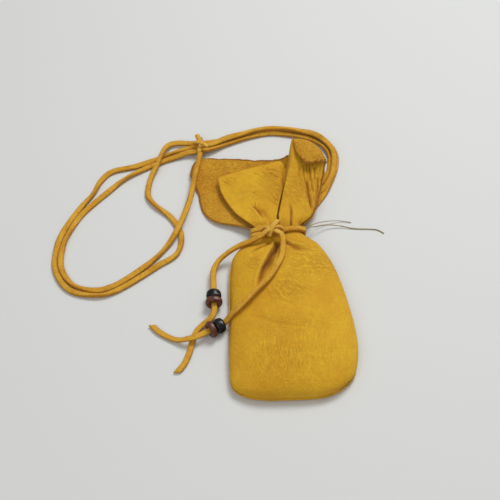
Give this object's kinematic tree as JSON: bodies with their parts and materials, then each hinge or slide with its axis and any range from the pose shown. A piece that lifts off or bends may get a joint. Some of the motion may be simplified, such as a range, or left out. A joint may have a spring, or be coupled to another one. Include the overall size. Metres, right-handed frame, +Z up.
{
  "type": "drawstring pouch",
  "caption": "Soft leather neck pouch lying on its back, gathered and tied at the neck, with a flared mouth, a long lace strap and beads on the tie ends.",
  "frame": {"origin": "middle of the flat patch of the back panel that rests on the table", "axes": "+Y from the bottom seam to the mouth, +Z up out of the front panel, +X to the right seen from above"},
  "size_m": [0.2015, 0.2106, 0.0236],
  "materials": {
    "grain_leather": "soft golden deerskin, grain side",
    "back_leather": "soft golden deerskin, napped inner side towards the mouth",
    "lace_leather": "cut deerskin lace",
    "sinew_thread": "waxed flat thread",
    "black_bead": "polished black",
    "ring_wood": "dark red-brown varnished wood"
  },
  "bodies": {
    "pouch": {"front_panel": "grain_leather", "back_panel": "back_leather", "tie_wraps": "lace_leather", "tie_knot": "lace_leather", "tie_tail_left": "lace_leather", "tie_tail_right": "lace_leather", "strap_lace_tied": "lace_leather", "strap_lace_looped": "lace_leather", "strap_knot": "lace_leather", "seam_thread": "sinew_thread"},
    "bead_left": {"black_bead_left": "black_bead"},
    "ring_left": {"wood_ring_left": "ring_wood"},
    "bead_right": {"black_bead_right": "black_bead"},
    "ring_right": {"wood_ring_right": "ring_wood"}
  },
  "joints": [
    {"name": "bead_left_slide", "type": "slide", "parent": "pouch", "child": "bead_left", "axis": [0, 1, 0], "range_m": [0, 0.003]},
    {"name": "ring_left_slide", "type": "slide", "parent": "pouch", "child": "ring_left", "axis": [0, -1, 0], "range_m": [0, 0.003]},
    {"name": "bead_right_slide", "type": "slide", "parent": "pouch", "child": "bead_right", "axis": [0.866, 0.5, 0], "range_m": [0, 0.0006]},
    {"name": "ring_right_slide", "type": "slide", "parent": "pouch", "child": "ring_right", "axis": [-0.866, -0.5, 0], "range_m": [0, 0.002]}
  ]
}
